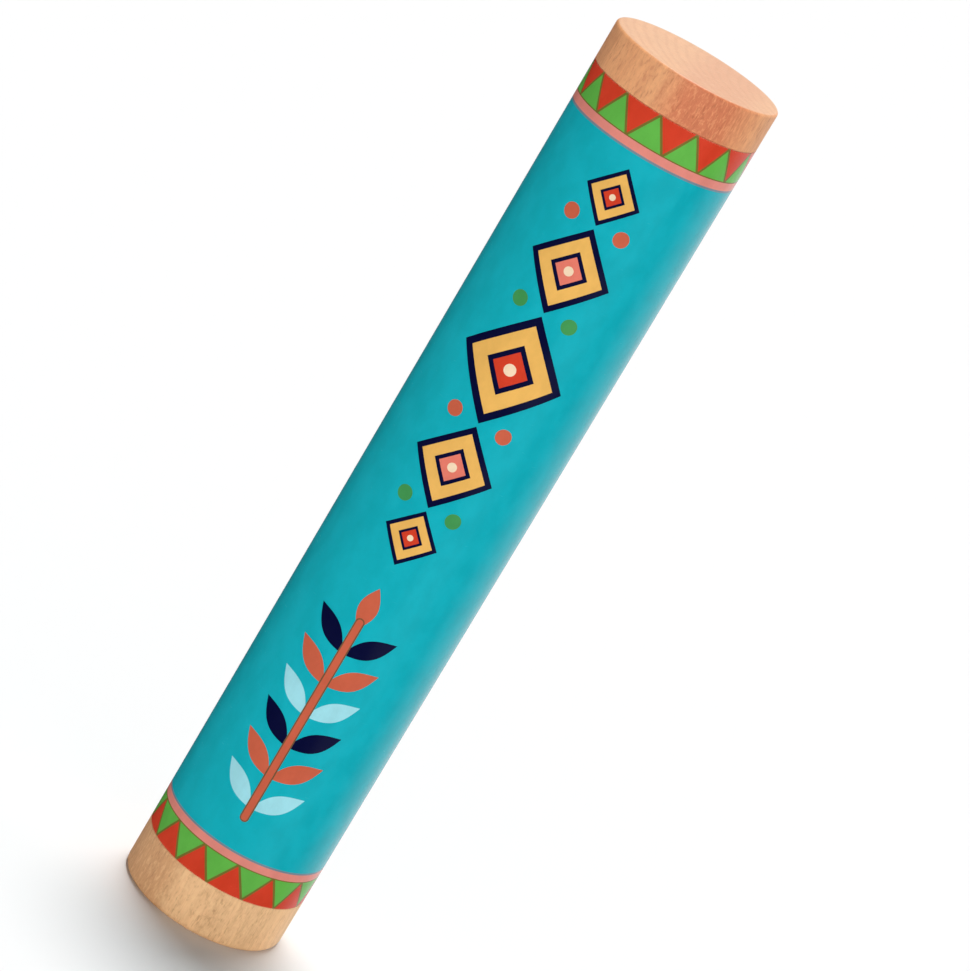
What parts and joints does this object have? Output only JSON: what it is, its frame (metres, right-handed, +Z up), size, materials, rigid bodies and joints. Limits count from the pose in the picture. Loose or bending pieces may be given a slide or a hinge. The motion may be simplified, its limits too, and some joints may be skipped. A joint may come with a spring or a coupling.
{
  "type": "rain stick",
  "caption": "Closed printed tube with turned wooden end plugs; loose beads trickle past crossing pins inside when it is turned over.",
  "frame": {"origin": "centre of the lower plug's end face, which the stick stands on", "axes": "+Z up along the stick's axis from the lower to the upper plug; -Y is the front of the printed wrap"},
  "size_m": [0.048, 0.048, 0.27],
  "materials": {
    "beech": "satin",
    "printed_paper": "satin",
    "board": "matte",
    "bamboo": "matte",
    "steel": "polished"
  },
  "bodies": {
    "stick": {"board_tube": "board", "printed_wrap": "printed_paper", "top_plug": "beech", "bottom_plug": "beech", "pin_flight_01": "bamboo", "pin_flight_02": "bamboo", "pin_flight_03": "bamboo", "pin_flight_04": "bamboo", "pin_flight_05": "bamboo", "pin_flight_06": "bamboo", "pin_flight_07": "bamboo", "pin_flight_08": "bamboo", "pin_flight_09": "bamboo", "pin_flight_10": "bamboo"},
    "bead_01": {"bead_01": "steel"},
    "bead_02": {"bead_02": "steel"},
    "bead_03": {"bead_03": "steel"},
    "bead_04": {"bead_04": "steel"},
    "bead_05": {"bead_05": "steel"},
    "bead_06": {"bead_06": "steel"},
    "bead_07": {"bead_07": "steel"},
    "bead_08": {"bead_08": "steel"},
    "bead_09": {"bead_09": "steel"},
    "bead_10": {"bead_10": "steel"},
    "bead_11": {"bead_11": "steel"},
    "bead_12": {"bead_12": "steel"},
    "bead_13": {"bead_13": "steel"},
    "bead_14": {"bead_14": "steel"},
    "bead_15": {"bead_15": "steel"},
    "bead_16": {"bead_16": "steel"},
    "bead_17": {"bead_17": "steel"},
    "bead_18": {"bead_18": "steel"},
    "bead_19": {"bead_19": "steel"},
    "bead_20": {"bead_20": "steel"},
    "bead_21": {"bead_21": "steel"},
    "bead_22": {"bead_22": "steel"},
    "bead_23": {"bead_23": "steel"},
    "bead_24": {"bead_24": "steel"},
    "bead_25": {"bead_25": "steel"},
    "bead_26": {"bead_26": "steel"},
    "bead_27": {"bead_27": "steel"},
    "bead_28": {"bead_28": "steel"},
    "bead_29": {"bead_29": "steel"},
    "bead_30": {"bead_30": "steel"},
    "bead_31": {"bead_31": "steel"},
    "bead_32": {"bead_32": "steel"}
  },
  "joints": [
    {"name": "bead_fall_01", "type": "slide", "parent": "stick", "child": "bead_01", "axis": [0, 0, 1], "range_m": [0, 0.2153]},
    {"name": "bead_fall_02", "type": "slide", "parent": "stick", "child": "bead_02", "axis": [0, 0, 1], "range_m": [0, 0.2153]},
    {"name": "bead_fall_03", "type": "slide", "parent": "stick", "child": "bead_03", "axis": [0, 0, 1], "range_m": [0, 0.2153]},
    {"name": "bead_fall_04", "type": "slide", "parent": "stick", "child": "bead_04", "axis": [0, 0, 1], "range_m": [0, 0.2153]},
    {"name": "bead_fall_05", "type": "slide", "parent": "stick", "child": "bead_05", "axis": [0, 0, 1], "range_m": [0, 0.2153]},
    {"name": "bead_fall_06", "type": "slide", "parent": "stick", "child": "bead_06", "axis": [0, 0, 1], "range_m": [0, 0.2153]},
    {"name": "bead_fall_07", "type": "slide", "parent": "stick", "child": "bead_07", "axis": [0, 0, 1], "range_m": [0, 0.2153]},
    {"name": "bead_fall_08", "type": "slide", "parent": "stick", "child": "bead_08", "axis": [0, 0, 1], "range_m": [0, 0.2153]},
    {"name": "bead_fall_09", "type": "slide", "parent": "stick", "child": "bead_09", "axis": [0, 0, 1], "range_m": [0, 0.2153]},
    {"name": "bead_fall_10", "type": "slide", "parent": "stick", "child": "bead_10", "axis": [0, 0, 1], "range_m": [0, 0.2153]},
    {"name": "bead_fall_11", "type": "slide", "parent": "stick", "child": "bead_11", "axis": [0, 0, 1], "range_m": [0, 0.2153]},
    {"name": "bead_fall_12", "type": "slide", "parent": "stick", "child": "bead_12", "axis": [0, 0, 1], "range_m": [0, 0.2153]},
    {"name": "bead_fall_13", "type": "slide", "parent": "stick", "child": "bead_13", "axis": [0, 0, 1], "range_m": [0, 0.2153]},
    {"name": "bead_fall_14", "type": "slide", "parent": "stick", "child": "bead_14", "axis": [0, 0, 1], "range_m": [0, 0.2153]},
    {"name": "bead_fall_15", "type": "slide", "parent": "stick", "child": "bead_15", "axis": [0, 0, 1], "range_m": [0, 0.2153]},
    {"name": "bead_fall_16", "type": "slide", "parent": "stick", "child": "bead_16", "axis": [0, 0, 1], "range_m": [0, 0.2153]},
    {"name": "bead_fall_17", "type": "slide", "parent": "stick", "child": "bead_17", "axis": [0, 0, 1], "range_m": [0, 0.2153]},
    {"name": "bead_fall_18", "type": "slide", "parent": "stick", "child": "bead_18", "axis": [0, 0, 1], "range_m": [0, 0.2153]},
    {"name": "bead_fall_19", "type": "slide", "parent": "stick", "child": "bead_19", "axis": [0, 0, 1], "range_m": [0, 0.2153]},
    {"name": "bead_fall_20", "type": "slide", "parent": "stick", "child": "bead_20", "axis": [0, 0, 1], "range_m": [0, 0.2153]},
    {"name": "bead_fall_21", "type": "slide", "parent": "stick", "child": "bead_21", "axis": [0, 0, 1], "range_m": [0, 0.2153]},
    {"name": "bead_fall_22", "type": "slide", "parent": "stick", "child": "bead_22", "axis": [0, 0, 1], "range_m": [0, 0.2153]},
    {"name": "bead_fall_23", "type": "slide", "parent": "stick", "child": "bead_23", "axis": [0, 0, 1], "range_m": [0, 0.2153]},
    {"name": "bead_fall_24", "type": "slide", "parent": "stick", "child": "bead_24", "axis": [0, 0, 1], "range_m": [0, 0.2153]},
    {"name": "bead_fall_25", "type": "slide", "parent": "stick", "child": "bead_25", "axis": [0, 0, 1], "range_m": [0, 0.2153]},
    {"name": "bead_fall_26", "type": "slide", "parent": "stick", "child": "bead_26", "axis": [0, 0, 1], "range_m": [0, 0.2153]},
    {"name": "bead_fall_27", "type": "slide", "parent": "stick", "child": "bead_27", "axis": [0, 0, 1], "range_m": [0, 0.2153]},
    {"name": "bead_fall_28", "type": "slide", "parent": "stick", "child": "bead_28", "axis": [0, 0, 1], "range_m": [0, 0.2153]},
    {"name": "bead_fall_29", "type": "slide", "parent": "stick", "child": "bead_29", "axis": [0, 0, 1], "range_m": [0, 0.2153]},
    {"name": "bead_fall_30", "type": "slide", "parent": "stick", "child": "bead_30", "axis": [0, 0, 1], "range_m": [0, 0.2153]},
    {"name": "bead_fall_31", "type": "slide", "parent": "stick", "child": "bead_31", "axis": [0, 0, 1], "range_m": [0, 0.2153]},
    {"name": "bead_fall_32", "type": "slide", "parent": "stick", "child": "bead_32", "axis": [0, 0, 1], "range_m": [0, 0.2153]}
  ]
}
